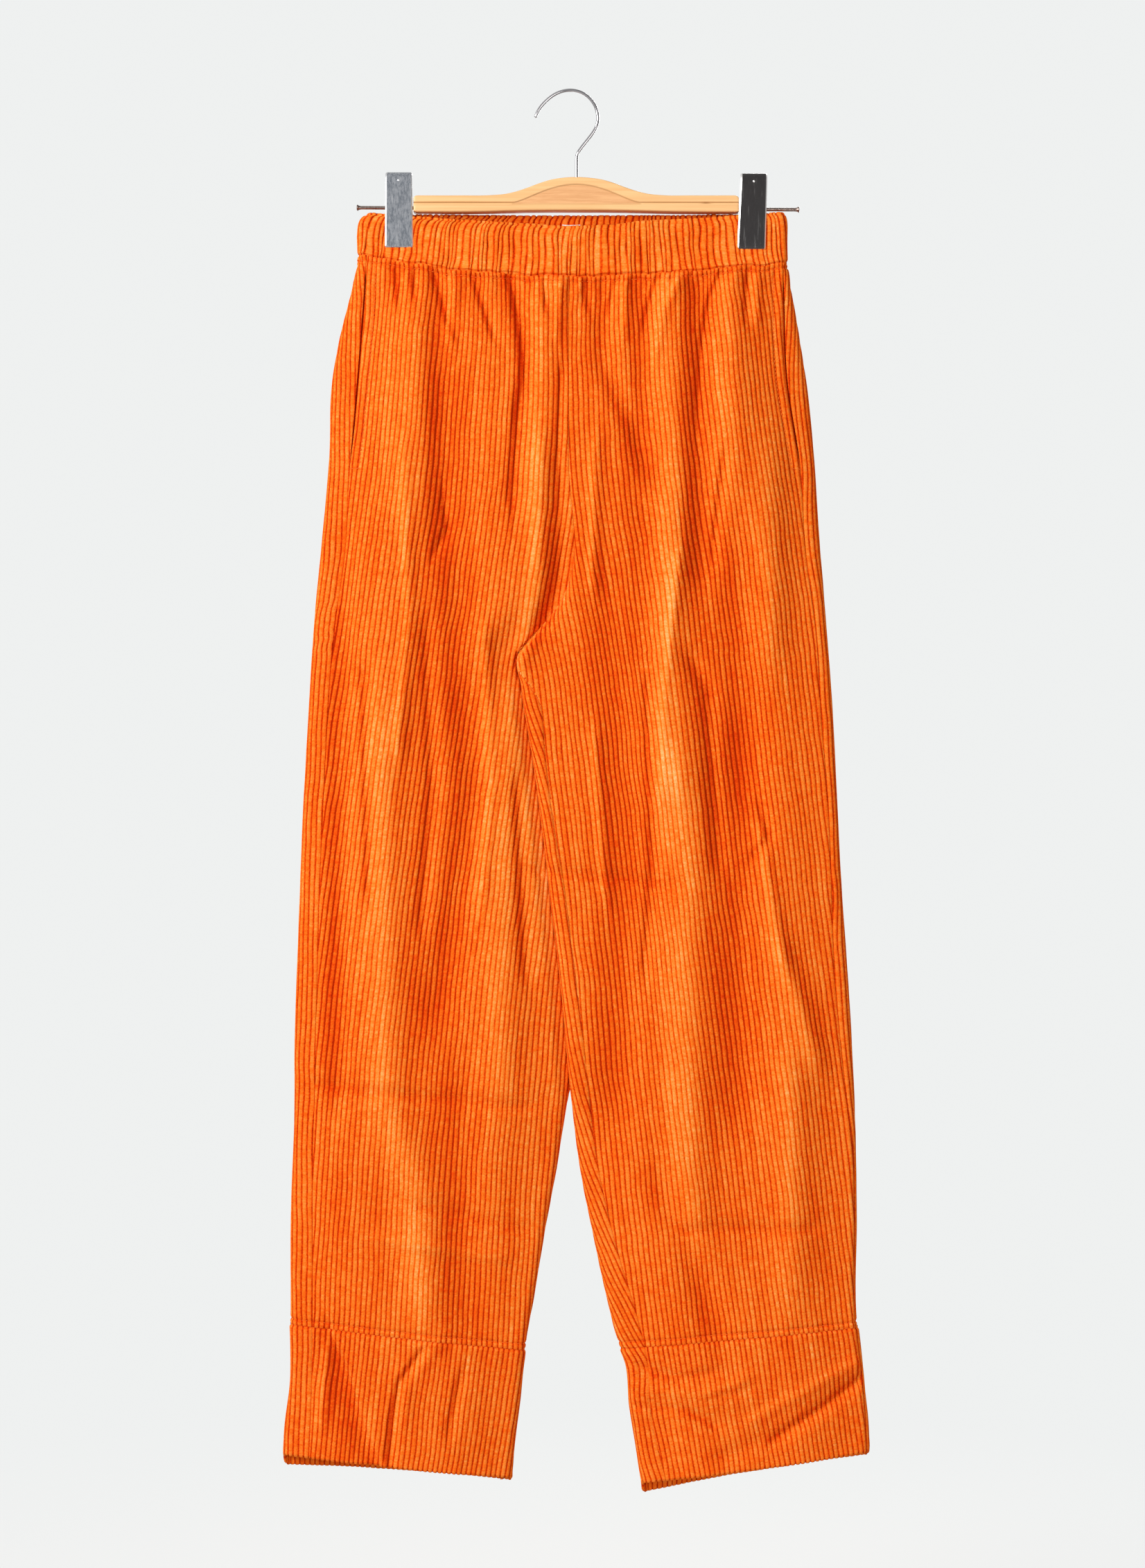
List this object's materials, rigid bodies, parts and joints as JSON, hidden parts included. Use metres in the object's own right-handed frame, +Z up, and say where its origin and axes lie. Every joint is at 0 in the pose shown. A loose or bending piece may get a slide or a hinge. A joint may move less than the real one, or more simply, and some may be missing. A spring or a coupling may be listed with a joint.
{
  "type": "pull-on trousers on a clip hanger",
  "caption": "Wide-wale corduroy pull-on trousers with a gathered waist, tapered legs and deep hem bands, hung flat from a wooden clip hanger.",
  "frame": {"origin": "inside top of the hanger's hook, where it bears on the rail", "axes": "+Z up along the garment's length, +X to the viewer's right seen from the front, +Y from the front of the garment to its back"},
  "size_m": [0.4693, 0.0483, 1.1214],
  "materials": {
    "corduroy": "wide-wale cotton corduroy, cut pile, matt",
    "label_tape": "plain white woven tape",
    "bar_wood": "pale honey wood, clear satin lacquer",
    "clip_steel": "scratched bright plated steel",
    "wire": "bright chrome wire",
    "rod_steel": "worn plated steel"
  },
  "bodies": {
    "root": {"waistband": "corduroy", "front_panel_right": "corduroy", "front_panel_left": "corduroy", "back_panel_right": "corduroy", "back_panel_left": "corduroy", "hem_band_front_right": "corduroy", "hem_band_front_left": "corduroy", "hem_band_back_right": "corduroy", "hem_band_back_left": "corduroy", "pocket_facing_right": "corduroy", "pocket_facing_left": "corduroy", "label": "label_tape", "hanger_bar": "bar_wood", "hanger_rod": "rod_steel", "hanger_hook": "wire", "clip_right": "clip_steel", "clip_left": "clip_steel"}
  },
  "joints": []
}
